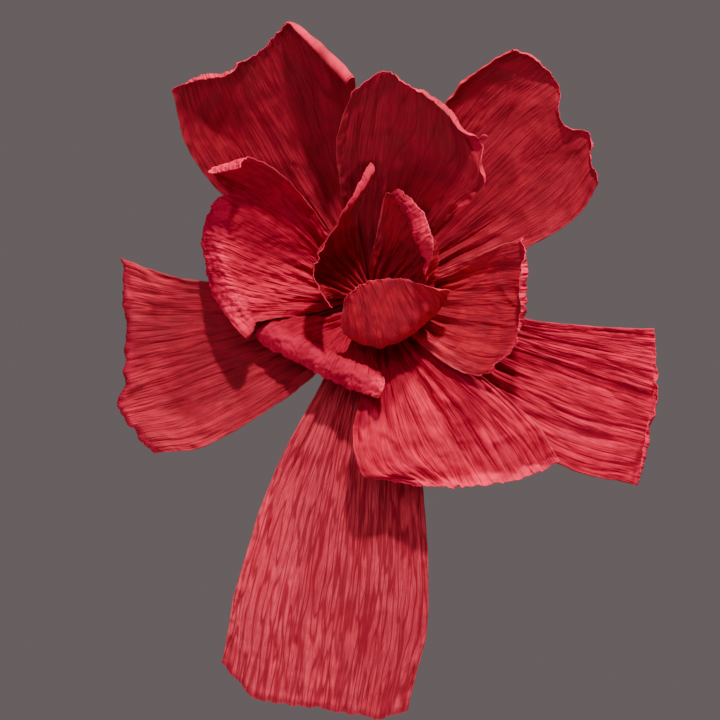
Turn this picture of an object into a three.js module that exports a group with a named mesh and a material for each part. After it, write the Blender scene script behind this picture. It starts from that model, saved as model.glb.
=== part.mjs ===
// Giant paper flower for a wall: a card disc carries five long outer petals and
// five cupped middle petals; a small card disc over their gathered ends carries
// the three petals of the bud. Millimetres. The back of the big disc lies on
// the plane Y = 0, the flower faces -Y and +Z is up.
import * as THREE from 'three';
import { mergeVertices } from 'three/addons/utils/BufferGeometryUtils.js';

const sheetThickness = 0.8;
const columns = 12;
const rows = 9;
const edgeStrip = 2;

// Card discs: radius, back face and front face measured forward from the wall.
const backingDisc = { radius: 58, back: 0, front: 3, sides: 64 };
const budDisc = { radius: 16, back: 13.6, front: 15, sides: 40 };

// Gathered ends of the petals: distance from the flower's axis, half the
// gathered width, and height above the wall. Each end is folded in pleats, which
// open out over the run given as a share of the petal's length.
const outerEnd = { along: 20, half: 11, forward: 5.1 };
const middleEnd = { along: 15, half: 8, forward: 9.2 };
const budEnd = { along: 9, half: 7.5, forward: 17 };
const pleat = { depth: 1.4, folds: 6, run: 0.3 };

// One entry per petal. angle is the way it points, in degrees from +X towards
// +Z. The sheet is described at four stations between its gathered end and its
// rim: along is the distance from the axis, left and right the two half widths,
// forward the height above the wall, cup how far each side edge stands forward
// of the middle line, wrap how far it is drawn back towards the axis. tip is
// the rim outline from the left corner to the right corner, measured from the
// last station. roll is the angle the cut edge is curled through at even steps
// along the edge: plus forward, minus back.
const petals = {
  outer_petal_upper_left: {
    angle: 117, end: outerEnd,
    along: [72, 130, 188, 232], left: [34, 72, 84, 74], right: [30, 50, 66, 72],
    forward: [16, 36, 64, 96], cupLeft: [4, 8, 10, 4], cupRight: [4, 10, 12, 6],
    tip: [2, 4, -3, -3, 3, 6, -56],
    roll: { radius: 6, tip: [40, 130, 120, 50, 60, 120, 150] },
  },
  outer_petal_upper_right: {
    angle: 43, end: outerEnd,
    along: [72, 130, 188, 232], left: [40, 70, 82, 74], right: [32, 58, 70, 62],
    forward: [14, 30, 48, 68], cupLeft: [6, 12, 16, 10], cupRight: [6, 10, 10, 2],
    tip: [3, 14, 8, -8, 2, -10, -22],
    roll: { radius: 4, tip: [100, 130, 60, 90, 90, 110, 80], left: [0, 20, 90, 110, 100] },
  },
  outer_petal_left: {
    angle: 198, end: outerEnd,
    along: [70, 122, 180, 218], left: [48, 66, 78, 72], right: [24, 50, 76, 98],
    forward: [14, 28, 40, 46], cupLeft: [4, 6, 6, 2], cupRight: [4, 8, 8, 4],
    tip: [1, 9, 16, 2, -10, -17, -25],
    roll: { radius: 8, tip: [-60, -90, -130, -150, -150, -150, -90] },
  },
  outer_petal_right: {
    angle: -19, end: outerEnd,
    along: [80, 146, 210, 262], left: [26, 29, 43, 56], right: [44, 72, 86, 80],
    forward: [14, 28, 36, 38], cupLeft: [4, 4, 4, 0], cupRight: [4, 6, 4, 0],
    tip: [-18, -13, -6, 0, 4, 8, 8],
    roll: { radius: 5, tip: [20, 40, 60, 100, 170, 180, 120] },
  },
  outer_petal_bottom: {
    angle: 262.8, end: outerEnd,
    along: [84, 180, 275, 358], left: [42, 70, 84, 78], right: [36, 70, 86, 92],
    forward: [14, 26, 30, 26], cupLeft: [4, 4, 4, 0], cupRight: [4, 6, 6, 0],
    tip: [-4, 5, 4, 3, 3, -3, -26],
    roll: { radius: 7, tip: [-100, -140, -130, -110, -130, -140, -100] },
  },
  middle_petal_top: {
    angle: 81.5, end: middleEnd,
    along: [52, 92, 132, 174], left: [24, 42, 50, 44], right: [32, 56, 78, 62],
    forward: [34, 62, 92, 124], cupLeft: [8, 14, 16, 4], cupRight: [8, 14, 14, -14],
    tip: [-7, 8, 16, 8, 2, -8, -30],
    roll: { radius: 6, tip: [30, 40, 60, 80, 120, 150, 150], right: [0, 0, 30, 110, 140] },
  },
  middle_petal_left: {
    angle: 155.8, end: middleEnd,
    along: [48, 80, 107, 127], left: [34, 50, 60, 62], right: [30, 52, 66, 68],
    forward: [24.6, 39.6, 56, 70], cupLeft: [4, 4, -1, -12], cupRight: [10, 18, 24, 26],
    tip: [-43, -17, -1, 10, 16, 36, 14],
    roll: { radius: 16, tip: [-70, -100, -115, -110, -60, 80, 100] },
  },
  middle_petal_lower_left: {
    angle: 236, end: middleEnd,
    along: [34, 46, 54, 58], left: [21, 35, 44, 48], right: [26, 45, 57, 64],
    forward: [24, 34, 42, 50], cupLeft: [5, 3, 6, 10], cupRight: [0, -2, -4, -6],
    tip: [-6, -5, -3, 0, 3, 6, 9],
    roll: { radius: 12, tip: [-110, -140, -165, -165, -165, -165, -150] },
  },
  middle_petal_lower_right: {
    angle: -63.3, end: middleEnd,
    along: [58, 104, 146, 172], left: [28, 58, 78, 82], right: [34, 68, 78, 60],
    forward: [30, 50, 64, 70], cupLeft: [4, 6, 2, -6], cupRight: [6, 10, 6, -6],
    tip: [24, 18, 10, 1, -7, -16, -26],
    roll: { radius: 16, tip: [20, 40, 55, 60, 60, 50, 30] },
  },
  middle_petal_right: {
    angle: -3.6, end: middleEnd,
    along: [46, 80, 108, 126], left: [22, 38, 52, 58], right: [36, 56, 62, 60],
    forward: [32, 48, 66, 84], cupLeft: [8, 13, 14, 4], cupRight: [8, 8, 0, -16],
    tip: [-3, 2, 3, 5, 2, -7, -23],
    roll: { radius: 8, tip: [60, 120, 130, 120, 100, 60, -60] },
  },
  bud_petal_left: {
    angle: 140, end: budEnd,
    along: [32, 54, 63, 60], left: [18, 26, 30, 30], right: [20, 38, 63, 84],
    forward: [28, 50, 68, 84], cupRight: [0, 6, 6, 0], wrapLeft: [6, 14, 16, 0], wrapRight: [0, 4, 6, 0],
    tip: [-38, -10, -3, 0, 5, 6, 8],
    roll: { radius: 7, tip: [20, 20, 20, 10, -10, -70, -100] },
  },
  bud_petal_right: {
    angle: 50, end: budEnd,
    along: [22, 48, 78, 66], left: [18, 31, 49, 46], right: [22, 34, 36, 31],
    forward: [32, 52, 74, 90], cupRight: [0, -2, -12, -26], wrapLeft: [5, 11, 13, 2],
    wrapRight: [6, 18, 36, 30],
    tip: [16, 8, -2, -2, 0],
    roll: { radius: 18, tip: [-30, -80, -110, -100, -30, 0] },
  },
  bud_petal_front: {
    angle: -72, end: budEnd,
    along: [24, 42, 38, -14], left: [26, 50, 67, 57], right: [20, 30, 34, 24],
    forward: [29, 46, 68, 84], wrapLeft: [4, 14, 22, -26], wrapRight: [6, 16, 22, -8],
    tip: [0, 0, 0],
    roll: { radius: 3, tip: [10, 10, 10] },
  },
};

const flat = [0, 0, 0, 0];
const clamp = (x, low, high) => Math.min(high, Math.max(low, x));

// Smooth curve through evenly spaced values, t from 0 to 1.
function curve(values, t) {
  const last = values.length - 1;
  const place = clamp(t, 0, 1) * last;
  const i = Math.min(Math.floor(place), last - 1);
  const f = place - i;
  const b = values[i];
  const c = values[i + 1];
  const a = i > 0 ? values[i - 1] : 2 * b - c;
  const d = i < last - 1 ? values[i + 2] : 2 * c - b;
  const cubic = 3 * b - a - 3 * c + d;
  return b + 0.5 * ((c - a) * f + (2 * a - 5 * b + 4 * c - d) * f * f + cubic * f ** 3);
}

// Folded edge: straight pleats between -1 and 1.
function zigzag(x) {
  const f = x - Math.floor(x);
  return 1 - 4 * Math.abs(f - 0.5);
}

// Point of the petal's middle surface: u runs from gathered end to rim and v
// from the left edge to the right edge. Axes: along, across, forward.
function sheetPoint(petal, u, v) {
  const end = petal.end;
  const side = v < 0
    ? { half: petal.left, cup: petal.cupLeft, wrap: petal.wrapLeft }
    : { half: petal.right, cup: petal.cupRight, wrap: petal.wrapRight };
  const along = curve([end.along, ...petal.along], u);
  const half = curve([end.half, ...side.half], u);
  const forward = curve([end.forward, ...petal.forward], u);
  const cup = curve([0, ...(side.cup ?? flat)], u);
  const wrap = curve([0, ...(side.wrap ?? flat)], u);
  const rim = curve(petal.tip, (v + 1) / 2);
  return new THREE.Vector3(along + rim * u * u - wrap * v * v, v * half, forward + cup * v * v);
}

function direction(petal, u, v, du, dv) {
  const ahead = sheetPoint(petal, clamp(u + du, 0, 1), clamp(v + dv, -1, 1));
  const behind = sheetPoint(petal, clamp(u - du, 0, 1), clamp(v - dv, -1, 1));
  return ahead.sub(behind).normalize();
}

// Adds a strip curled round a small radius beyond a cut edge.
function curl(point, outward, normal, radius, degrees, part) {
  const angle = THREE.MathUtils.degToRad(degrees) * part;
  point.addScaledVector(outward, radius * Math.sin(Math.abs(angle)));
  point.addScaledVector(normal, Math.sign(angle) * radius * (1 - Math.cos(angle)));
}

// Middle surface with pleats and curled edges, and its forward normal. Values
// of u over 1 and of v beyond -1 and 1 lie on the curled strips.
function petalPoint(petal, u, v) {
  const uu = clamp(u, 0, 1);
  const vv = clamp(v, -1, 1);
  const alongWay = direction(petal, uu, vv, 0.001, 0);
  const acrossWay = direction(petal, uu, vv, 0, 0.001);
  const normal = alongWay.clone().cross(acrossWay).normalize();
  const point = sheetPoint(petal, uu, vv);
  const open = Math.max(0, 1 - uu / pleat.run);
  point.addScaledVector(normal, pleat.depth * open * zigzag((vv + 1) / 2 * pleat.folds));
  const { roll } = petal;
  if (u > 1) curl(point, alongWay, normal, roll.radius, curve(roll.tip, (vv + 1) / 2), u - 1);
  if (v < -1) curl(point, acrossWay.negate(), normal, roll.radius, curve(roll.left, uu), -1 - v);
  if (v > 1) curl(point, acrossWay, normal, roll.radius, curve(roll.right, uu), v - 1);
  return point;
}

function steps(from, to, count) {
  return Array.from({ length: count + 1 }, (_, i) => from + (to - from) * i / count);
}

// Closed sheet: the middle surface moved half a thickness each way along its
// own normals, joined round the edge.
function petalGeometry(petal) {
  const us = [...steps(0, 1, rows), ...steps(1, 2, edgeStrip).slice(1)];
  const vs = [
    ...(petal.roll.left ? steps(-2, -1, edgeStrip).slice(0, -1) : []),
    ...steps(-1, 1, columns),
    ...(petal.roll.right ? steps(1, 2, edgeStrip).slice(1) : []),
  ];
  const grid = us.map((u) => vs.map((v) => petalPoint(petal, u, v)));
  const lastU = us.length - 1;
  const lastV = vs.length - 1;
  const positions = [];
  const faces = [];
  for (const sign of [1, -1]) {
    grid.forEach((line, i) => line.forEach((point, j) => {
      const alongWay = grid[Math.min(i + 1, lastU)][j].clone().sub(grid[Math.max(i - 1, 0)][j]);
      const acrossWay = line[Math.min(j + 1, lastV)].clone().sub(line[Math.max(j - 1, 0)]);
      const normal = alongWay.cross(acrossWay).normalize();
      positions.push(point.clone().addScaledVector(normal, sign * sheetThickness / 2).toArray());
    }));
  }
  const count = (lastU + 1) * (lastV + 1);
  const at = (i, j, back) => i * (lastV + 1) + j + (back ? count : 0);
  const quad = (a, b, c, d) => faces.push(a, c, b, a, d, c);
  for (let i = 0; i < lastU; i += 1) {
    for (let j = 0; j < lastV; j += 1) {
      quad(at(i, j), at(i + 1, j), at(i + 1, j + 1), at(i, j + 1));
      quad(at(i, j, true), at(i, j + 1, true), at(i + 1, j + 1, true), at(i + 1, j, true));
    }
    quad(at(i, 0), at(i, 0, true), at(i + 1, 0, true), at(i + 1, 0));
    quad(at(i, lastV), at(i + 1, lastV), at(i + 1, lastV, true), at(i, lastV, true));
  }
  for (let j = 0; j < lastV; j += 1) {
    quad(at(0, j), at(0, j + 1), at(0, j + 1, true), at(0, j, true));
    quad(at(lastU, j), at(lastU, j, true), at(lastU, j + 1, true), at(lastU, j + 1));
  }
  const geometry = new THREE.BufferGeometry();
  geometry.setAttribute('position', new THREE.Float32BufferAttribute(positions.flat(), 3));
  geometry.setIndex(faces);
  // Along, across, forward turned to the petal's own direction on the wall. The
  // three make a left-handed set, so the quads above are wound clockwise.
  const angle = THREE.MathUtils.degToRad(petal.angle);
  const frame = new THREE.Matrix4().makeBasis(
    new THREE.Vector3(Math.cos(angle), 0, Math.sin(angle)),
    new THREE.Vector3(Math.sin(angle), 0, -Math.cos(angle)),
    new THREE.Vector3(0, -1, 0),
  );
  geometry.applyMatrix4(frame);
  return geometry;
}

// Card disc, cut square, facing the room.
function discGeometry({ radius, back, front, sides }) {
  const geometry = new THREE.CylinderGeometry(radius, radius, front - back, sides);
  geometry.deleteAttribute('normal');
  geometry.deleteAttribute('uv');
  geometry.translate(0, -(back + front) / 2, 0);
  return mergeVertices(geometry, 1e-4);
}

function part(name, geometry, material) {
  const mesh = new THREE.Mesh(geometry, material);
  mesh.name = name;
  geometry.computeVertexNormals();
  return mesh;
}

const redPaper = () => new THREE.MeshStandardMaterial({
  color: 0xb0303c, roughness: 0.85, metalness: 0,
});
const redCard = () => new THREE.MeshStandardMaterial({
  color: 0x8e2a33, roughness: 0.9, metalness: 0,
});

const flower = new THREE.Group();
flower.name = 'paper_flower';
flower.add(part('backing_disc', discGeometry(backingDisc), redCard()));
flower.add(part('bud_disc', discGeometry(budDisc), redCard()));
for (const [name, petal] of Object.entries(petals)) {
  flower.add(part(name, petalGeometry(petal), redPaper()));
}

export default flower;
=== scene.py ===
import bpy
import math
import numpy as np
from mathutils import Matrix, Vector


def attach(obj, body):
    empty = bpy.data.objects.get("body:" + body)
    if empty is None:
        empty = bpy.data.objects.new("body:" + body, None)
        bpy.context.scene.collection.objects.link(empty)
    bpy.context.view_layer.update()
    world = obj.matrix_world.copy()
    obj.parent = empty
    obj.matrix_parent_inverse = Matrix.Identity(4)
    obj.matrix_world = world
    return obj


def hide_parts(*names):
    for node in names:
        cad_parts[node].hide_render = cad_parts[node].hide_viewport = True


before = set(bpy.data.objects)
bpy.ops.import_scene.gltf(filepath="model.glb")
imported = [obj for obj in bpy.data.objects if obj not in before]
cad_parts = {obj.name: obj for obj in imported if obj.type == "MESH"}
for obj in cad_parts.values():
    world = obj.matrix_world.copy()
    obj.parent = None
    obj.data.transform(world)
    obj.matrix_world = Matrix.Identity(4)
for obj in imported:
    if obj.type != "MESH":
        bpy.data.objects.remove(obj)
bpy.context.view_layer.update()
print("frame loaded:", len(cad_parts), "nodes")

# camera, straight on and a little below the middle of the flower
cameraSettings = {
    "place": (-0.0108, -2.4, -0.054),
    "lens": 133.3,
    "sensor": 36.0,
}


def makeCamera(settings):
    data = bpy.data.cameras.new("viewCamera")
    data.lens = settings["lens"]
    data.sensor_width = settings["sensor"]
    data.clip_end = 50
    camera = bpy.data.objects.new("viewCamera", data)
    camera.location = settings["place"]
    camera.rotation_euler = (math.pi / 2, 0, 0)
    bpy.context.scene.collection.objects.link(camera)
    bpy.context.scene.camera = camera


makeCamera(cameraSettings)

# studio: a floor well below the hung flower, a key light high in front, a second
# one higher and to the right, and a broad fill from the front
studioSettings = {
    "floorHeight": -1.2,
    "floorRadius": 1.7,
    "floorColor": (0.62, 0.60, 0.58, 1),
    "backdropColor": (0.142, 0.117, 0.120, 1),
    "backdropStrength": 1.0,
    "lights": [
        {"name": "keyLight", "energy": 96, "size": 0.17, "distance": 2.6,
         "direction": (0.11, -0.62, 0.78), "color": (1.0, 0.99, 0.985)},
        {"name": "topLight", "energy": 150, "size": 0.24, "distance": 2.6,
         "direction": (0.42, -0.30, 0.90), "color": (1.0, 0.98, 0.97)},
        {"name": "frontFill", "energy": 32, "size": 1.8, "distance": 3.0,
         "direction": (-0.30, -0.86, 0.42), "color": (0.95, 0.97, 1.0)},
    ],
}


def makeStudio(settings):
    world = bpy.data.worlds.new("studioWorld")
    bpy.context.scene.world = world
    world.use_nodes = True
    background = world.node_tree.nodes["Background"]
    background.inputs["Color"].default_value = settings["backdropColor"]
    background.inputs["Strength"].default_value = settings["backdropStrength"]
    for light in settings["lights"]:
        data = bpy.data.lights.new(light["name"], "AREA")
        data.shape = "DISK"
        data.size = light["size"]
        data.energy = light["energy"]
        data.color = light["color"]
        lamp = bpy.data.objects.new(light["name"], data)
        way = Vector(light["direction"]).normalized()
        lamp.location = way * light["distance"]
        lamp.rotation_euler = (-way).to_track_quat("-Z", "Y").to_euler()
        bpy.context.scene.collection.objects.link(lamp)
    turns = np.linspace(0, 2 * math.pi, 96, endpoint=False)
    radius = settings["floorRadius"]
    rim = [(radius * math.cos(t), radius * math.sin(t), settings["floorHeight"]) for t in turns]
    mesh = bpy.data.meshes.new("studioFloor")
    mesh.from_pydata(rim, [], [tuple(range(len(rim)))])
    floor = bpy.data.objects.new("studioFloor", mesh)
    bpy.context.scene.collection.objects.link(floor)
    material = bpy.data.materials.new("paleFloor")
    material.use_nodes = True
    shader = material.node_tree.nodes["Principled BSDF"]
    shader.inputs["Base Color"].default_value = settings["floorColor"]
    shader.inputs["Roughness"].default_value = 0.85
    mesh.materials.append(material)


makeStudio(studioSettings)
print("camera and studio ready")


# small helpers for node trees
def addNode(tree, kind, values=None, **settings):
    node = tree.nodes.new(kind)
    for key, value in settings.items():
        setattr(node, key, value)
    for key, value in (values or {}).items():
        socket = node.inputs[key]
        if isinstance(value, bpy.types.NodeSocket):
            tree.links.new(value, socket)
        else:
            socket.default_value = value
    return node


def doMath(tree, operation, first, second=None, third=None):
    node = tree.nodes.new("ShaderNodeMath")
    node.operation = operation
    for socket, value in zip(node.inputs, (first, second, third)):
        if isinstance(value, bpy.types.NodeSocket):
            tree.links.new(value, socket)
        elif value is not None:
            socket.default_value = value
    return node.outputs[0]


def doVectorMath(tree, operation, first, second=None):
    node = tree.nodes.new("ShaderNodeVectorMath")
    node.operation = operation
    for socket, value in zip(node.inputs, (first, second)):
        if isinstance(value, bpy.types.NodeSocket):
            tree.links.new(value, socket)
        elif value is not None:
            socket.default_value = value
    return node.outputs[0]


def remap(tree, value, low, high, newLow=0.0, newHigh=1.0, kind="SMOOTHSTEP"):
    node = tree.nodes.new("ShaderNodeMapRange")
    node.interpolation_type = kind
    for key, item in zip(("Value", "From Min", "From Max", "To Min", "To Max"),
                         (value, low, high, newLow, newHigh)):
        socket = node.inputs[key]
        if isinstance(item, bpy.types.NodeSocket):
            tree.links.new(item, socket)
        else:
            socket.default_value = item
    return node.outputs["Result"]


def mixColor(tree, factor, first, second):
    node = tree.nodes.new("ShaderNodeMix")
    node.data_type = "RGBA"
    for socket, value in ((node.inputs[0], factor), (node.inputs[6], first), (node.inputs[7], second)):
        if isinstance(value, bpy.types.NodeSocket):
            tree.links.new(value, socket)
        else:
            socket.default_value = value
    return node.outputs[2]


def socketsFor(tree, inputs, outputs):
    for name, kind, value in inputs:
        socket = tree.interface.new_socket(name=name, in_out="INPUT", socket_type=kind)
        if value is not None:
            socket.default_value = value
    for name, kind in outputs:
        tree.interface.new_socket(name=name, in_out="OUTPUT", socket_type=kind)


# Geometry nodes: long creases, crumpled facets and a ruffled rim pressed into a
# smooth sheet, which is then given its thickness. sheetPlace is where a point
# lies on the flat sheet, rimDistance how far it is from the cut edge, openness
# 0 at the gathered end and 1 on the open sheet, curled 1 on a curled strip.
creaseSettings = {
    "drift": (0.014, 0.03, 0),  # metres a crease strays across and along the sheet
    "steepness": 3.4,  # how quickly the sheet rises beside a fold
    "ruffleReach": 0.013,  # width of the ruffled band along the rim
    "seam": 0.000005,  # points closer than this are joined where front meets back
}


def makeCreaseTree():
    tree = bpy.data.node_groups.new("creasePaper", "GeometryNodeTree")
    socketsFor(tree, [
        ("Geometry", "NodeSocketGeometry", None),
        ("Crease spacing", "NodeSocketFloat", 0.008),
        ("Crease length", "NodeSocketFloat", 0.11),
        ("Crease depth", "NodeSocketFloat", 0.0009),
        ("Crumple size", "NodeSocketFloat", 0.02),
        ("Crumple depth", "NodeSocketFloat", 0.0006),
        ("Rim ruffle", "NodeSocketFloat", 0.0012),
        ("Thickness", "NodeSocketFloat", 0.0004),
        ("Seed", "NodeSocketFloat", 0.0),
        ("Material", "NodeSocketMaterial", None),
    ], [("Geometry", "NodeSocketGeometry")])
    tree.is_modifier = True
    wanted = tree.nodes.new("NodeGroupInput").outputs

    def stored(name, kind="FLOAT"):
        reader = addNode(tree, "GeometryNodeInputNamedAttribute", {"Name": name}, data_type=kind)
        return reader.outputs["Attribute"]

    place = stored("sheetPlace", "FLOAT_VECTOR")
    rimDistance, openness, curled = stored("rimDistance"), stored("openness"), stored("curled")

    def seededNoise(vector, scale, detail, seed=wanted["Seed"], output="Fac"):
        values = {"Vector": vector, "W": seed, "Scale": scale, "Detail": detail}
        return addNode(tree, "ShaderNodeTexNoise", values, noise_dimensions="4D").outputs[output]

    drift = doVectorMath(tree, "SUBTRACT", seededNoise(place, 16.0, 2.0, output="Color"), (0.5, 0.5, 0.5))
    drift = doVectorMath(tree, "MULTIPLY", drift, creaseSettings["drift"])
    wandered = doVectorMath(tree, "ADD", place, drift)
    parts = addNode(tree, "ShaderNodeSeparateXYZ", {"Vector": wandered}).outputs

    def swingField(spacing, length, seedShift):
        across = doMath(tree, "DIVIDE", parts["X"], spacing)
        along = doMath(tree, "DIVIDE", parts["Y"], length)
        stretched = addNode(tree, "ShaderNodeCombineXYZ", {"X": across, "Y": along, "Z": 0.0}).outputs[0]
        swing = seededNoise(stretched, 1.0, 0.0, doMath(tree, "ADD", wanted["Seed"], seedShift))
        return doMath(tree, "MULTIPLY_ADD", swing, 2.0, -1.0)

    # a fold is sharp where its field passes through nothing
    def foldField(spacing, length, seedShift):
        return doMath(tree, "ABSOLUTE", swingField(spacing, length, seedShift))

    def summed(*values):
        total = values[0]
        for value in values[1:]:
            total = doMath(tree, "ADD", total, value)
        return total

    def times(*values):
        total = values[0]
        for value in values[1:]:
            total = doMath(tree, "MULTIPLY", total, value)
        return total

    # five sizes of fold, the last number of each setting it apart from the others
    spacing, length, facet = wanted["Crease spacing"], wanted["Crease length"], wanted["Crumple size"]
    smallFacet = times(facet, 0.45)
    broadSwell = swingField(times(spacing, 3.2), length, 0.0)
    longFold = foldField(times(spacing, 1.25), length, 2.9)
    fineFold = foldField(times(spacing, 0.55), times(length, 0.6), 5.3)
    crumpleFold = foldField(facet, facet, 8.1)
    crinkleFold = foldField(smallFacet, smallFacet, 11.7)

    # fine creases and crinkles come and go in patches
    patches = seededNoise(place, 22.0, 1.0)
    fineHere = remap(tree, patches, 0.40, 0.60, 0.25, 1.0)
    crinkleHere = remap(tree, patches, 0.60, 0.40, 0.15, 1.0)
    steepness = creaseSettings["steepness"]
    longRise = doMath(tree, "MINIMUM", times(longFold, steepness), 1.0)
    fineRise = doMath(tree, "MINIMUM", times(fineFold, steepness), 1.0)

    # curled strips carry shallower long creases and deeper crumples
    longOnStrip = doMath(tree, "MULTIPLY_ADD", curled, -0.5, 1.0)
    crumpleOnStrip = doMath(tree, "MULTIPLY_ADD", curled, 0.7, 1.0)
    creases = times(summed(longRise, times(broadSwell, 2.0), times(fineRise, fineHere, 0.45)),
                    wanted["Crease depth"], longOnStrip)
    crumples = times(summed(times(crumpleFold, -steepness), times(crinkleFold, crinkleHere, 1.3),
                            times(crinkleFold, curled, 1.6)), wanted["Crumple depth"], crumpleOnStrip)

    ruffleWave = seededNoise(place, 90.0, 1.5)
    nearRim = remap(tree, rimDistance, creaseSettings["ruffleReach"], 0.0)
    ruffle = times(doMath(tree, "SUBTRACT", ruffleWave, 0.5), nearRim, wanted["Rim ruffle"], 4.0)
    height = times(summed(creases, crumples, ruffle), openness)

    normal = tree.nodes.new("GeometryNodeInputNormal").outputs[0]
    offset = doVectorMath(tree, "SCALE", normal)
    tree.links.new(height, offset.node.inputs["Scale"])
    moved = addNode(tree, "GeometryNodeSetPosition",
                    {"Geometry": wanted["Geometry"], "Offset": offset}).outputs[0]

    # this mask is 1 along the bottom of a crease, where the paper is painted darker as shade
    longLine = remap(tree, longFold, 0.0, 0.10, 1.0, 0.0)
    fineLine = times(remap(tree, fineFold, 0.0, 0.12, 1.0, 0.0), fineHere, 0.7)
    crinkleLine = times(remap(tree, crinkleFold, 0.0, 0.10, 1.0, 0.0), crinkleHere, 0.4)
    strongest = doMath(tree, "MAXIMUM", doMath(tree, "MAXIMUM", longLine, fineLine), crinkleLine)
    creaseShading = times(strongest, openness, doMath(tree, "MULTIPLY_ADD", curled, -0.6, 1.0))
    marked = addNode(tree, "GeometryNodeStoreNamedAttribute",
                     {"Geometry": moved, "Name": "creaseMark", "Value": creaseShading},
                     data_type="FLOAT", domain="POINT").outputs[0]
    raised = addNode(tree, "GeometryNodeExtrudeMesh",
                     {"Mesh": marked, "Offset Scale": wanted["Thickness"], "Individual": False},
                     mode="FACES").outputs["Mesh"]
    back = addNode(tree, "GeometryNodeFlipFaces", {"Mesh": marked}).outputs[0]
    both = addNode(tree, "GeometryNodeJoinGeometry", {"Geometry": raised}).outputs[0]
    tree.links.new(back, both.node.inputs[0])
    closed = addNode(tree, "GeometryNodeMergeByDistance",
                     {"Geometry": both, "Distance": creaseSettings["seam"]}).outputs[0]
    smooth = addNode(tree, "GeometryNodeSetShadeSmooth", {"Geometry": closed}).outputs[0]
    real = addNode(tree, "GeometryNodeRealizeInstances", {"Geometry": smooth}).outputs[0]
    finished = addNode(tree, "GeometryNodeSetMaterial",
                       {"Geometry": real, "Material": wanted["Material"]}).outputs[0]
    tree.links.new(finished, tree.nodes.new("NodeGroupOutput").inputs[0])
    return tree


def noise(tree, vector, scale, detail, roughness=0.5):
    values = {"Vector": vector, "Scale": scale, "Detail": detail, "Roughness": roughness}
    return addNode(tree, "ShaderNodeTexNoise", values).outputs["Fac"]


# material groups: fibres, thin pressed folds and the mottling of dyed paper
def makeFibreGroup():
    tree = bpy.data.node_groups.new("paperFibre", "ShaderNodeTree")
    socketsFor(tree, [
        ("Place", "NodeSocketVector", None),
        ("Fibre width", "NodeSocketFloat", 0.0012),
        ("Fibre length", "NodeSocketFloat", 0.03),
    ], [("Streaks", "NodeSocketFloat"), ("Height", "NodeSocketFloat"), ("Mottle", "NodeSocketFloat"),
        ("Thin creases", "NodeSocketFloat")])
    wanted = tree.nodes.new("NodeGroupInput").outputs
    result = tree.nodes.new("NodeGroupOutput").inputs
    parts = addNode(tree, "ShaderNodeSeparateXYZ", {"Vector": wanted["Place"]}).outputs
    across = doMath(tree, "DIVIDE", parts["X"], wanted["Fibre width"])
    along = doMath(tree, "DIVIDE", parts["Y"], wanted["Fibre length"])
    third = doMath(tree, "DIVIDE", parts["Z"], wanted["Fibre width"])
    drawn = addNode(tree, "ShaderNodeCombineXYZ", {"X": across, "Y": along, "Z": third}).outputs[0]
    streaks = noise(tree, drawn, 1.0, 4.0, 0.6)
    grain = noise(tree, wanted["Place"], 900.0, 3.0)
    mottle = noise(tree, wanted["Place"], 38.0, 4.0, 0.62)

    # the sheet is folded sharply wherever a drawn out field passes through nothing
    def thinFold(widthShare, lengthShare, shift):
        spread = addNode(tree, "ShaderNodeCombineXYZ", {
            "X": doMath(tree, "MULTIPLY_ADD", across, widthShare, shift),
            "Y": doMath(tree, "MULTIPLY", along, lengthShare),
            "Z": doMath(tree, "MULTIPLY", third, widthShare)}).outputs[0]
        swing = noise(tree, spread, 1.0, 1.0)
        return doMath(tree, "ABSOLUTE", doMath(tree, "MULTIPLY_ADD", swing, 2.0, -1.0))

    coarse, fine = thinFold(0.17, 0.45, 0.0), thinFold(0.40, 0.8, 31.0)
    thin = doMath(tree, "MAXIMUM", remap(tree, coarse, 0.03, 0.17, 1.0, 0.0),
                  doMath(tree, "MULTIPLY", remap(tree, fine, 0.03, 0.20, 1.0, 0.0), 0.5))
    tree.links.new(thin, result["Thin creases"])
    tree.links.new(streaks, result["Streaks"])
    coarseRise = doMath(tree, "MULTIPLY", remap(tree, coarse, 0.0, 0.35, 0.0, 1.0, "LINEAR"), 0.9)
    fineRise = doMath(tree, "MULTIPLY", remap(tree, fine, 0.0, 0.35, 0.0, 1.0, "LINEAR"), 0.4)
    fuzz = doMath(tree, "ADD", doMath(tree, "MULTIPLY", streaks, 0.35), doMath(tree, "MULTIPLY", grain, 0.12))
    tree.links.new(doMath(tree, "ADD", fuzz, doMath(tree, "ADD", coarseRise, fineRise)), result["Height"])
    tree.links.new(mottle, result["Mottle"])
    return tree


fibreGroup = makeFibreGroup()


def placeFibre(tree, place, look):
    node = addNode(tree, "ShaderNodeGroup", node_tree=fibreGroup)
    tree.links.new(place, node.inputs["Place"])
    node.inputs["Fibre width"].default_value = look["fibreWidth"]
    node.inputs["Fibre length"].default_value = look["fibreLength"]
    return node


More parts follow.
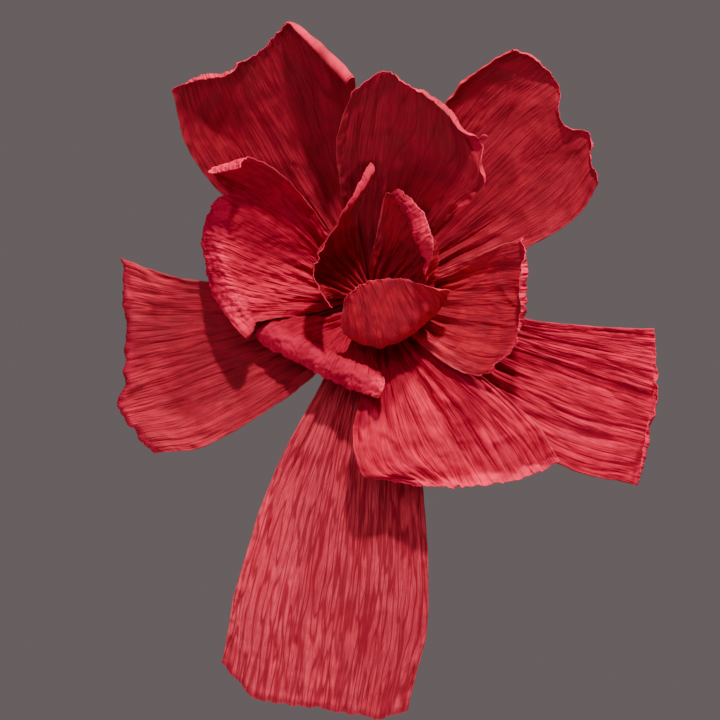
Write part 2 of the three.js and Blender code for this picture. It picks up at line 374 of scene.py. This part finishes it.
def makePaperMaterial(name, look):
    material = bpy.data.materials.new(name)
    material.use_nodes = True
    tree = material.node_tree
    shader = tree.nodes["Principled BSDF"]
    output = tree.nodes["Material Output"]
    place = addNode(tree, "ShaderNodeUVMap", uv_map="sheet").outputs[0]
    creaseShadeMask = addNode(tree, "ShaderNodeAttribute", attribute_name="creaseMark").outputs["Fac"]
    rim = addNode(tree, "ShaderNodeAttribute", attribute_name="rimDistance").outputs["Fac"]
    curled = addNode(tree, "ShaderNodeAttribute", attribute_name="curled").outputs["Fac"]
    fibre = placeFibre(tree, place, look).outputs
    mottle = remap(tree, fibre["Mottle"], 0.34, 0.66)
    color = mixColor(tree, mottle, look["deep"], look["body"])
    drawnOut = addNode(tree, "ShaderNodeMapping", {"Vector": place, "Scale": look["blotchScale"]}).outputs[0]
    blotch = noise(tree, drawnOut, 1.0, 5.0, 0.65)
    faded = remap(tree, blotch, look["fadeFrom"], look["fadeFrom"] + 0.16, 0.0, look["fade"])
    color = mixColor(tree, faded, color, look["pale"])
    streakTone = remap(tree, fibre["Streaks"], 0.35, 0.65, 0.0, look["streak"])
    color = mixColor(tree, streakTone, color, look["deep"])
    # crease bottoms and thin creases are painted darker: painted shade in the folds
    thin = doMath(tree, "MULTIPLY", fibre["Thin creases"], look["thinCreases"])
    lines = doMath(tree, "MAXIMUM", creaseShadeMask, thin)
    color = mixColor(tree, doMath(tree, "MULTIPLY", lines, look["creaseDark"]), color, look["crease"])
    # cut edges painted paler: partly a painted highlight where the edges catch the light, partly fraying wear
    worn = doMath(tree, "MULTIPLY", remap(tree, rim, look["rimWidth"], 0.0, 0.0, look["rimHighlightAndWear"]),
                  remap(tree, blotch, 0.35, 0.55, 0.35, 1.0))
    color = mixColor(tree, worn, color, look["rim"])
    # curled strips painted lighter: a painted highlight where the rolls catch the light
    curlHighlight = doMath(tree, "MULTIPLY", curled, remap(tree, fibre["Mottle"], 0.35, 0.6, 0.3, 1.0))
    color = mixColor(tree, doMath(tree, "MULTIPLY", curlHighlight, look["curlHighlightStrength"]), color, look["curlHighlight"])
    tree.links.new(color, shader.inputs["Base Color"])
    smoothest = look["roughness"] - look["roughnessSwing"]
    roughest = look["roughness"] + look["roughnessSwing"]
    tree.links.new(remap(tree, fibre["Mottle"], 0.3, 0.7, smoothest, roughest), shader.inputs["Roughness"])
    shader.inputs["Sheen Weight"].default_value = look["sheen"]
    shader.inputs["Sheen Roughness"].default_value = look["sheenSpread"]
    shader.inputs["Sheen Tint"].default_value = look["sheenColor"]
    shader.inputs["Specular IOR Level"].default_value = look["gloss"]
    bump = addNode(tree, "ShaderNodeBump",
                   {"Height": fibre["Height"], "Strength": look["bump"], "Distance": look["bumpHeight"]})
    tree.links.new(bump.outputs[0], shader.inputs["Normal"])
    glow = addNode(tree, "ShaderNodeBsdfTranslucent", {"Color": color, "Normal": bump.outputs[0]})
    mix = addNode(tree, "ShaderNodeMixShader", {0: look["through"], 1: shader.outputs[0], 2: glow.outputs[0]})
    tree.links.new(mix.outputs[0], output.inputs["Surface"])
    return material


# plain red paper; a paler copy, partly fading and partly painted light, for the lowest petal,
# which faces the lamps; a brighter copy, painted light, for the petals that catch the most
# light; and the deeper red of the bud. Curled strips are mixed towards a painted highlight.
paperLook = {
    "deep": (0.31, 0.012, 0.026, 1),
    "body": (0.47, 0.015, 0.036, 1),
    "pale": (0.66, 0.028, 0.066, 1),
    # painted shade colour of crease bottoms and thin creases
    "crease": (0.19, 0.002, 0.010, 1),
    # painted highlight colour of cut edges, partly fraying wear
    "rim": (0.80, 0.085, 0.11, 1),
    "creaseDark": 0.6,
    "thinCreases": 0.6,
    "fade": 0.35,
    "fadeFrom": 0.54,
    "streak": 0.3,
    "rimHighlightAndWear": 0.3,
    "rimWidth": 0.0018,
    # painted highlight colour of curled strips
    "curlHighlight": (0.80, 0.014, 0.072, 1),
    "curlHighlightStrength": 0.4,
    "blotchScale": (34.0, 16.0, 1.0),
    "fibreWidth": 0.0011,
    "fibreLength": 0.03,
    "roughness": 0.75,
    "roughnessSwing": 0.08,
    "sheen": 0.01,
    "sheenSpread": 0.45,
    "sheenColor": (1.0, 0.3, 0.35, 1),
    "gloss": 0.08,
    "bump": 0.7,
    "bumpHeight": 0.0010,
    "through": 0.10,  # share of light that shines through the sheet
}
plainPaper = makePaperMaterial("plainPaper", paperLook)
# a paler copy for the lowest petal, which faces the lamps: painted light, partly fading
fadedLitPaper = makePaperMaterial("fadedLitPaper", {
    **paperLook, "deep": (0.64, 0.034, 0.064, 1), "body": (0.76, 0.046, 0.086, 1),
    "pale": (0.86, 0.085, 0.140, 1), "fade": 0.35, "fadeFrom": 0.44, "streak": 0.3,
    "crease": (0.24, 0.003, 0.014, 1), "thinCreases": 1.0, "creaseDark": 0.8})
# a brighter copy for the petals that catch the most light: painted light
wornPaper = makePaperMaterial("wornPaper", {
    **paperLook, "deep": (0.38, 0.004, 0.024, 1), "body": (0.56, 0.005, 0.036, 1),
    "pale": (0.72, 0.014, 0.072, 1), "fade": 0.4, "fadeFrom": 0.50, "curlHighlightStrength": 0.55,
    "thinCreases": 0.85})
budPaper = makePaperMaterial("budPaper", {
    **paperLook, "fade": 0.15, "curlHighlightStrength": 0.7, "fibreLength": 0.02, "through": 0.02,
    "body": (0.55, 0.011, 0.029, 1)})


def makeCardMaterial(name, look):
    material = bpy.data.materials.new(name)
    material.use_nodes = True
    tree = material.node_tree
    shader = tree.nodes["Principled BSDF"]
    place = addNode(tree, "ShaderNodeTexCoord").outputs["Object"]
    fibre = placeFibre(tree, place, look).outputs
    color = mixColor(tree, remap(tree, fibre["Mottle"], 0.3, 0.7), look["deep"], look["body"])
    flecks = remap(tree, fibre["Streaks"], 0.58, 0.72, 0.0, look["flecks"])
    color = mixColor(tree, flecks, color, look["fleck"])
    tree.links.new(color, shader.inputs["Base Color"])
    roughness = remap(tree, fibre["Mottle"], 0.3, 0.7, look["smoothest"], look["roughest"])
    tree.links.new(roughness, shader.inputs["Roughness"])
    bump = addNode(tree, "ShaderNodeBump",
                   {"Height": fibre["Height"], "Strength": look["bump"], "Distance": look["bumpHeight"]})
    tree.links.new(bump.outputs[0], shader.inputs["Normal"])
    return material


cardLook = {
    "deep": (0.20, 0.012, 0.020, 1),
    "body": (0.30, 0.020, 0.032, 1),
    "fleck": (0.48, 0.07, 0.07, 1),
    "flecks": 0.35,
    "fibreWidth": 0.0018,
    "fibreLength": 0.0026,
    "smoothest": 0.72,
    "roughest": 0.9,
    "bump": 0.35,
    "bumpHeight": 0.0004,
}
redCard = makeCardMaterial("redCard", cardLook)
for node in ("backing_disc", "bud_disc"):
    for slot in bpy.data.objects[node].material_slots:
        slot.material = redCard
print("materials ready")

# gathered ends, in millimetres: distance from the axis, half width, height
outerEnd = {"along": 20, "half": 11, "forward": 5.1}
middleEnd = {"along": 15, "half": 8, "forward": 9.2}
budEnd = {"along": 9, "half": 7.5, "forward": 17.0}

# pleats at the gathered end: their depth in millimetres, how many, how far up the
# sheet they run, how much deeper they get on the way, and how they stray
pleat = {"depth": 1.4, "folds": 6, "run": 0.55, "swell": 8, "stray": 0.7, "strayRate": 7}

# One dictionary for each petal. angle is the way it points, in degrees from +X
# towards +Z, and the rest is in millimetres at four stations from the gathered
# end to the rim: distance from the axis, half widths, height, how far the side
# edges stand forward (cup) and are drawn back towards the axis (wrap). tip is
# the cut outline from left corner to right corner. roll gives the degrees each
# edge is curled through, plus forward and minus back, the curl's radius and the
# rows of points across it. folds are the long ones pressed by hand, creases the
# finer relief of the sheet, and mostPoints the size of its net of points.
petals = {
    "outer_petal_upper_left": {
        "angle": 117, "end": outerEnd,
        "along": [72, 130, 188, 232], "left": [34, 72, 84, 74], "right": [30, 50, 66, 72],
        "forward": [16, 36, 64, 96], "cupLeft": [4, 8, 10, 4], "cupRight": [4, 10, 12, 6],
        "tip": [2, 4, -3, -3, 3, 6, -56],
        "roll": {"radius": 6, "tip": [40, 130, 120, 50, 60, 120, 150]},
        "creases": {"spacing": 15, "length": 120, "depth": 0.4, "ruffle": 1.3,
                    "crumple": 36, "crumpleDepth": 0.9},
        "folds": {"count": 9, "depth": 1.6},
        "paper": "plain",
    },
    "outer_petal_upper_right": {
        "angle": 43, "end": outerEnd,
        "along": [72, 130, 188, 232], "left": [40, 70, 82, 74], "right": [32, 58, 70, 62],
        "forward": [14, 30, 48, 68], "cupLeft": [6, 12, 16, 10], "cupRight": [6, 10, 10, 2],
        "tip": [3, 14, 8, -8, 2, -10, -22],
        "roll": {"radius": 4, "tip": [100, 130, 60, 90, 90, 110, 80], "left": [0, 20, 90, 110, 100]},
        "creases": {"spacing": 15, "length": 120, "depth": 0.45, "ruffle": 1.2,
                    "crumple": 32, "crumpleDepth": 0.9},
        "folds": {"count": 8, "depth": 1.4},
        "paper": "plain",
    },
    "outer_petal_left": {
        "angle": 198, "end": outerEnd,
        "along": [70, 122, 180, 218], "left": [48, 66, 78, 72], "right": [24, 50, 76, 98],
        "forward": [14, 28, 40, 46], "cupLeft": [4, 6, 6, 2], "cupRight": [4, 8, 8, 4],
        "tip": [1, 9, 16, 2, -10, -17, -25],
        "roll": {"radius": 8, "tip": [-60, -90, -130, -150, -150, -150, -90]},
        "creases": {"spacing": 9, "length": 90, "depth": 0.9, "ruffle": 1.2,
                    "crumple": 30, "crumpleDepth": 0.9},
        "folds": {"count": 8, "depth": 2.0},
        "paper": "plain",
    },
    "outer_petal_right": {
        "angle": -19, "end": outerEnd,
        "along": [80, 146, 210, 262], "left": [26, 29, 43, 56], "right": [44, 72, 86, 80],
        "forward": [14, 28, 36, 38], "cupLeft": [4, 4, 4, 0], "cupRight": [4, 6, 4, 0],
        "tip": [-18, -13, -6, 0, 4, 8, 8],
        "roll": {"radius": 5, "tip": [20, 40, 60, 100, 170, 180, 120]},
        "creases": {"spacing": 7, "length": 80, "depth": 1.0, "ruffle": 1.2,
                    "crumple": 26, "crumpleDepth": 0.6},
        "folds": {"count": 11, "depth": 1.8},
        "paper": "worn",
    },
    "outer_petal_bottom": {
        "angle": 262.8, "end": outerEnd,
        "along": [84, 180, 275, 358], "left": [42, 70, 84, 78], "right": [36, 70, 86, 92],
        "forward": [14, 26, 30, 26], "cupLeft": [4, 4, 4, 0], "cupRight": [4, 6, 6, 0],
        "tip": [-4, 5, 4, 3, 3, 0, -26],
        "roll": {"radius": 7, "tip": [-100, -140, -130, -110, -130, -140, -100]},
        "mostPoints": 32000,
        "creases": {"spacing": 7, "length": 110, "depth": 0.9, "ruffle": 1.4,
                    "crumple": 30, "crumpleDepth": 0.5},
        "folds": {"count": 12, "depth": 1.5},
        "paper": "faded",
    },
    "middle_petal_top": {
        "angle": 81.5, "end": middleEnd,
        "along": [52, 92, 132, 174], "left": [24, 42, 50, 44], "right": [32, 56, 78, 62],
        "forward": [34, 62, 92, 124], "cupLeft": [8, 14, 16, 4], "cupRight": [8, 14, 14, -14],
        "tip": [-7, 8, 16, 8, 2, -8, -30],
        "roll": {"radius": 6, "tip": [30, 40, 60, 80, 120, 150, 150], "right": [0, 0, 30, 110, 140]},
        "creases": {"spacing": 12, "length": 90, "depth": 0.4, "ruffle": 1.6,
                    "crumple": 34, "crumpleDepth": 0.5},
        "folds": {"count": 8, "depth": 1.0},
        "paper": "plain",
    },
    "middle_petal_left": {
        "angle": 155.8, "end": middleEnd,
        "along": [48, 80, 107, 127], "left": [34, 50, 60, 62], "right": [30, 52, 66, 68],
        "forward": [24.6, 39.6, 56, 70], "cupLeft": [4, 4, -1, -12], "cupRight": [10, 18, 24, 26],
        "tip": [-43, -17, -1, 10, 16, 36, 14],
        "roll": {"radius": 16, "steps": 24, "tip": [-70, -100, -115, -110, -60, 80, 100]},
        "creases": {"spacing": 11, "length": 70, "depth": 0.5, "ruffle": 1.2,
                    "crumple": 10, "crumpleDepth": 0.6},
        "folds": {"count": 6, "depth": 2.0},
        "paper": "worn",
    },
    "middle_petal_lower_left": {
        "angle": 236, "end": middleEnd,
        "along": [34, 46, 54, 58], "left": [21, 35, 44, 48], "right": [26, 45, 57, 64],
        "forward": [24, 34, 42, 50], "cupLeft": [5, 3, 6, 10], "cupRight": [0, -2, -4, -6],
        "tip": [-6, -5, -3, 0, 3, 6, 9],
        "roll": {"radius": 12, "steps": 26, "tip": [-110, -140, -165, -165, -165, -165, -150]},
        "creases": {"spacing": 8, "length": 50, "depth": 0.3, "ruffle": 1.6,
                    "crumple": 9, "crumpleDepth": 0.6},
        "folds": {"count": 5, "depth": 1.0},
        "paper": "worn",
    },
    "middle_petal_lower_right": {
        "angle": -63.3, "end": middleEnd,
        "along": [58, 104, 146, 172], "left": [28, 58, 78, 82], "right": [34, 68, 78, 60],
        "forward": [30, 50, 64, 70], "cupLeft": [4, 6, 2, -6], "cupRight": [6, 10, 6, -6],
        "tip": [24, 18, 10, 1, -7, -16, -26],
        "roll": {"radius": 16, "tip": [20, 40, 55, 60, 60, 50, 30]},
        "creases": {"spacing": 9, "length": 80, "depth": 0.9, "ruffle": 1.2,
                    "crumple": 20, "crumpleDepth": 1.0},
        "folds": {"count": 9, "depth": 3.0},
        "paper": "worn",
    },
    "middle_petal_right": {
        "angle": -3.6, "end": middleEnd,
        "along": [46, 80, 108, 126], "left": [22, 38, 52, 58], "right": [36, 56, 62, 60],
        "forward": [32, 48, 66, 84], "cupLeft": [8, 13, 14, 4], "cupRight": [8, 8, 0, -16],
        "tip": [-3, 2, 3, 5, 2, -7, -23],
        "roll": {"radius": 8, "tip": [60, 120, 130, 120, 100, 60, -60]},
        "mostPoints": 20000,
        "creases": {"spacing": 11, "length": 60, "depth": 0.6, "ruffle": 0.9,
                    "crumple": 22, "crumpleDepth": 0.9},
        "folds": {"count": 9, "depth": 2.4},
        "paper": "bud",
    },
    "bud_petal_left": {
        "angle": 140, "end": budEnd,
        "along": [32, 54, 63, 60], "left": [18, 26, 30, 30], "right": [20, 38, 63, 84],
        "forward": [28, 50, 68, 84], "cupRight": [0, 6, 6, 0], "wrapLeft": [6, 14, 16, 0],
        "wrapRight": [0, 4, 6, 0],
        "tip": [-38, -10, -3, 0, 5, 6, 8],
        "roll": {"radius": 7, "tip": [20, 20, 20, 10, -10, -70, -100]},
        "creases": {"spacing": 7, "length": 40, "depth": 0.4, "ruffle": 0.6,
                    "crumple": 16, "crumpleDepth": 0.5},
        "folds": {"count": 4, "depth": 1.0},
        "paper": "bud",
    },
    "bud_petal_right": {
        "angle": 50, "end": budEnd,
        "along": [22, 48, 78, 66], "left": [18, 31, 49, 46], "right": [22, 34, 36, 31],
        "forward": [32, 52, 74, 90], "cupRight": [0, -2, -12, -26], "wrapLeft": [5, 11, 13, 2],
        "wrapRight": [6, 18, 36, 30],
        "tip": [16, 8, -2, -2, 0],
        "roll": {"radius": 18, "steps": 22, "tip": [-30, -80, -110, -100, -30, 0]},
        "creases": {"spacing": 7, "length": 50, "depth": 0.5, "ruffle": 1.0,
                    "crumple": 9, "crumpleDepth": 0.5},
        "folds": {"count": 6, "depth": 0.8},
        "paper": "bud",
    },
    "bud_petal_front": {
        "angle": -72, "end": budEnd,
        "along": [24, 42, 38, -14], "left": [26, 50, 67, 57], "right": [20, 30, 34, 24],
        "forward": [29, 46, 68, 84], "wrapLeft": [4, 14, 22, -26], "wrapRight": [6, 16, 22, -8],
        "tip": [0, 0, 0],
        "roll": {"radius": 3, "tip": [10, 10, 10]},
        "creases": {"spacing": 7, "length": 45, "depth": 0.4, "ruffle": 1.2,
                    "crumple": 20, "crumpleDepth": 0.7},
        "folds": {"count": 4, "depth": 0.8},
        "paper": "bud",
    },
}

sheetSettings = {
    "step": 1.1,  # mm between points of the fine net, before the two stretches
    "stretchAlong": 1.45,
    "stretchAcross": 0.72,
    "mostPoints": 18000,
    "roughPoints": 30,  # points each way in the net that a sheet is measured on
    "thickness": 0.45,
    "stripSteps": 9,  # rows across a curled strip, unless its roll says more
    "fray": 1.6,  # how far the hand cut edge wanders
    "pleated": 0.22,  # share of the length over which creases come in
}
wholeWave = 6.28  # a wave starts anywhere in one whole turn


# Smooth curve through evenly spaced values, t from 0 to 1.
def curveThrough(values, t):
    values = np.asarray(values, float)
    last = len(values) - 1
    place = np.clip(t, 0, 1) * last
    index = np.minimum(place.astype(int), last - 1)
    part = place - index
    ends = np.concatenate([[2 * values[0] - values[1]], values, [2 * values[-1] - values[-2]]])
    a, b, c, d = ends[index], ends[index + 1], ends[index + 2], ends[index + 3]
    cubic = 3 * b - a - 3 * c + d
    return b + 0.5 * ((c - a) * part + (2 * a - 5 * b + 4 * c - d) * part ** 2 + cubic * part ** 3)


# A sum of sines that wanders between about -1 and 1, the same at every run.
def wander(seed, x, slowest, count):
    quicken, weaken = 1.7, 1.35
    source = np.random.default_rng(seed)
    total = np.zeros_like(x)
    for step in range(count):
        rate = slowest * quicken ** step
        total += np.sin(rate * x + source.uniform(0, wholeWave)) / weaken ** step
    return total / count ** 0.7


# A point of the smooth sheet: u runs from the gathered end to the rim, v from the
# left edge to the right, and the result is distance out, across and forward.
def sheetPoint(petal, u, v, seed, fray=0.0):
    end = petal["end"]
    flat = [0, 0, 0, 0]

    def atStation(first, key):
        return curveThrough([first] + list(petal.get(key, flat)), u)

    onLeft = v < 0
    half = np.where(onLeft, atStation(end["half"], "left"), atStation(end["half"], "right"))
    cup = np.where(onLeft, atStation(0, "cupLeft"), atStation(0, "cupRight"))
    wrap = np.where(onLeft, atStation(0, "wrapLeft"), atStation(0, "wrapRight"))
    rim = curveThrough(petal["tip"], (v + 1) / 2)
    rim = rim + fray * wander(seed, v, 14, 6) * u ** 8
    half = half * (1 + fray * 0.010 * wander(seed + 50, u + 0 * v, 11, 6) * v ** 8 * np.minimum(1, u * 3))
    along = atStation(end["along"], "along") + rim * u * u - wrap * v * v
    forward = atStation(end["forward"], "forward") + cup * v * v
    return np.stack([along, v * half, forward], -1)


def unit(vectors):
    return vectors / (np.linalg.norm(vectors, axis=-1, keepdims=True) + 1e-9)


# Long folds pressed by hand: ridges and valleys that fan out from the gathered end.
handFold = {
    "stray": 0.4,  # how unevenly they are spaced
    "lean": 0.16,  # how far one swings sideways by the rim
    "wave": 0.03,
    "waveRate": 6,
    "starts": (-0.1, 0.35),  # along the sheet, 0 at the gathered end and 1 at the rim
    "ends": (0.6, 1.3),
    "startRate": 6,
    "endRate": 4,
    "reach": (4, 10),  # mm from the fold to flat sheet
    "shallowest": 0.4,
}


def foldHeight(petal, u, v, seed):
    source = np.random.default_rng(seed + 200)
    count, depth = petal["folds"]["count"], petal["folds"]["depth"]
    width = np.where(v < 0, curveThrough([petal["end"]["half"]] + petal["left"], u),
                     curveThrough([petal["end"]["half"]] + petal["right"], u))
    height = np.zeros_like(u)
    stray, lean = handFold["stray"], handFold["lean"]
    for number in range(count):
        middle = (number + 0.5 + source.uniform(-stray, stray)) / count * 2 - 1
        swing = source.uniform(-lean, lean) * u
        swing = swing + handFold["wave"] * np.sin(handFold["waveRate"] * u + source.uniform(0, wholeWave))
        first, last = source.uniform(*handFold["starts"]), source.uniform(*handFold["ends"])
        reach = source.uniform(*handFold["reach"])
        strength = depth * source.uniform(handFold["shallowest"], 1) * source.choice([-1, 1])
        shown = np.clip((u - first) * handFold["startRate"], 0, 1)
        shown = shown * np.clip((last - u) * handFold["endRate"], 0, 1)
        height += strength * shown * np.maximum(0, 1 - np.abs(v - middle - swing) * width / reach)
    return height


# 0 on the open sheet, 1 on the strips beyond u = 1 or v = -1 and 1 that are curled
def stripShare(u, v):
    begins, rate = 0.97, 4
    return np.clip(np.maximum(u - begins, np.abs(v) - begins) * rate, 0, 1)


def petalNet(petal, us, vs, seed):
    u, v = np.meshgrid(us, vs, indexing="ij")
    inU, inV = np.clip(u, 0, 1), np.clip(v, -1, 1)
    nudge = 0.001
    point = sheetPoint(petal, inU, inV, seed, sheetSettings["fray"])
    alongWay = unit(sheetPoint(petal, np.clip(inU + nudge, 0, 1), inV, seed)
                    - sheetPoint(petal, np.clip(inU - nudge, 0, 1), inV, seed))
    acrossWay = unit(sheetPoint(petal, inU, np.clip(inV + nudge, -1, 1), seed)
                     - sheetPoint(petal, inU, np.clip(inV - nudge, -1, 1), seed))
    normal = unit(np.cross(alongWay, acrossWay))
    stray = pleat["stray"] * inU * np.sin(pleat["strayRate"] * inV + seed) * (1 - inV ** 2)
    fold = (inV + 1) / 2 * pleat["folds"] + stray
    fold = 1 - 4 * np.abs(fold - np.floor(fold) - 0.5)
    opening = np.maximum(0, 1 - inU / pleat["run"]) * (1 + pleat["swell"] * inU)
    pressed = foldHeight(petal, inU, inV, seed) * (1 - 0.8 * stripShare(u, v))
    point = point + normal * (pleat["depth"] * opening * fold + pressed)[..., None]
    roll = petal["roll"]

    def curl(outward, degrees, part):
        angle = np.radians(degrees) * part
        reach = roll["radius"] * np.sin(np.abs(angle))
        lift = np.sign(angle) * roll["radius"] * (1 - np.cos(angle))
        return outward * reach[..., None] + normal * lift[..., None]

    point = point + curl(alongWay, curveThrough(roll["tip"], (inV + 1) / 2), np.clip(u - 1, 0, 1))
    if "left" in roll:
        point = point + curl(-acrossWay, curveThrough(roll["left"], inU), np.clip(-1 - v, 0, 1))
    if "right" in roll:
        point = point + curl(acrossWay, curveThrough(roll["right"], inU), np.clip(v - 1, 0, 1))
    return point


# even steps of sheet, with closer steps on the curled strips
def sheetSteps(low, high, count, before, after, stripCount):
    inner = np.linspace(low, high, count)
    first = np.linspace(low - 1, low, stripCount)[:-1] if before else []
    last = np.linspace(high, high + 1, stripCount)[1:] if after else []
    return np.concatenate([first, inner, last])


def buildSheet(name, petal, seed):
    roll = petal["roll"]
    roughPoints = sheetSettings["roughPoints"]
    rough = petalNet(petal, np.linspace(0, 1, roughPoints), np.linspace(-1, 1, roughPoints), seed)
    length = np.linalg.norm(np.diff(rough[:, roughPoints // 2], axis=0), axis=-1).sum()
    width = np.linalg.norm(np.diff(rough, axis=1), axis=-1).sum(axis=1).max()
    mostPoints = petal.get("mostPoints", sheetSettings["mostPoints"])
    step = max(sheetSettings["step"], math.sqrt(length * width / mostPoints))
    stripCount = roll.get("steps", sheetSettings["stripSteps"])
    alongCount = int(length / (step * sheetSettings["stretchAlong"]))
    acrossCount = int(width / (step * sheetSettings["stretchAcross"]))
    us = sheetSteps(0, 1, alongCount, False, True, stripCount)
    vs = sheetSteps(-1, 1, acrossCount, "left" in roll, "right" in roll, stripCount)
    net = petalNet(petal, us, vs, seed)
    rows, columns = net.shape[:2]
    gaps = np.linalg.norm(np.diff(net, axis=0), axis=-1)
    runLength = np.concatenate([np.zeros((1, columns)), np.cumsum(gaps, axis=0)])
    sideGaps = np.linalg.norm(np.diff(net, axis=1), axis=-1)
    runWidth = np.concatenate([np.zeros((rows, 1)), np.cumsum(sideGaps, axis=1)], axis=1)
    toRim = np.minimum(runLength[-1:] - runLength, np.minimum(runWidth, runWidth[:, -1:] - runWidth))
    clippedV = np.clip(vs, -1, 1)[None, :] + 0 * runLength
    beyond = (vs - np.clip(vs, -1, 1))[None, :] + 0 * runLength
    flatX = clippedV * width / 2 + beyond * roll["radius"] * 2
    openness = np.clip(runLength / (length * sheetSettings["pleated"]), 0, 1) ** 1.5
    curled = stripShare(us[:, None], vs[None, :])
    angle = math.radians(petal["angle"])
    along, across, forward = net[..., 0], net[..., 1], net[..., 2]
    x = along * math.cos(angle) + across * math.sin(angle)
    z = along * math.sin(angle) - across * math.cos(angle)
    points = np.stack([x, -forward, z], -1).reshape(-1, 3) / 1000
    row, column = np.meshgrid(np.arange(rows - 1), np.arange(columns - 1), indexing="ij")
    corner = (row * columns + column).ravel()
    faces = np.stack([corner, corner + 1, corner + columns + 1, corner + columns], -1)
    mesh = bpy.data.meshes.new(name)
    mesh.from_pydata(points.tolist(), [], faces.tolist())
    placeOnSheet = np.stack([flatX, runLength, 0 * flatX], -1).reshape(-1, 3) / 1000
    mesh.attributes.new("sheetPlace", "FLOAT_VECTOR", "POINT").data.foreach_set(
        "vector", placeOnSheet.astype(np.float32).ravel())
    for key, values in (("rimDistance", toRim / 1000), ("openness", openness), ("curled", curled)):
        attribute = mesh.attributes.new(key, "FLOAT", "POINT")
        attribute.data.foreach_set("value", values.astype(np.float32).ravel())
    layer = mesh.uv_layers.new(name="sheet")
    corners = np.zeros(len(mesh.loops), np.int32)
    mesh.loops.foreach_get("vertex_index", corners)
    layer.data.foreach_set("uv", placeOnSheet[corners][:, :2].astype(np.float32).ravel())
    piece = bpy.data.objects.new(name, mesh)
    bpy.context.scene.collection.objects.link(piece)
    return piece, runLength[-1].max(), runWidth[:, -1].max()


papers = {"plain": plainPaper, "faded": fadedLitPaper, "worn": wornPaper, "bud": budPaper}
creaseTree = makeCreaseTree()
creaseSockets = {item.name: item.identifier for item in creaseTree.interface.items_tree
                 if item.in_out == "INPUT"}


def creaseSheet(piece, petal, seed):
    creases = petal["creases"]
    modifier = piece.modifiers.new("creases", "NODES")
    modifier.node_group = creaseTree
    wanted = {
        "Crease spacing": creases["spacing"] / 1000,
        "Crease length": creases["length"] / 1000,
        "Crease depth": creases["depth"] / 1000,
        "Crumple size": creases["crumple"] / 1000,
        "Crumple depth": creases["crumpleDepth"] / 1000,
        "Rim ruffle": creases["ruffle"] / 1000,
        "Thickness": sheetSettings["thickness"] / 1000,
        "Seed": float(seed) * 1.37,  # keeps one sheet's folds apart from the next
        "Material": papers[petal["paper"]],
    }
    for socket, value in wanted.items():
        modifier[creaseSockets[socket]] = value
    evaluated = piece.evaluated_get(bpy.context.evaluated_depsgraph_get())
    creased = bpy.data.meshes.new_from_object(evaluated)
    piece.modifiers.remove(modifier)
    plain = piece.data
    piece.data = creased
    bpy.data.meshes.remove(plain)
    creased.name = piece.name


for number, (name, petal) in enumerate(petals.items()):
    piece, length, width = buildSheet(name + "_paper", petal, number + 1)
    creaseSheet(piece, petal, number + 1)
    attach(piece, "root")
    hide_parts(name)
    print(name, "sheet %.0f x %.0f mm," % (length, width), len(piece.data.polygons), "faces")
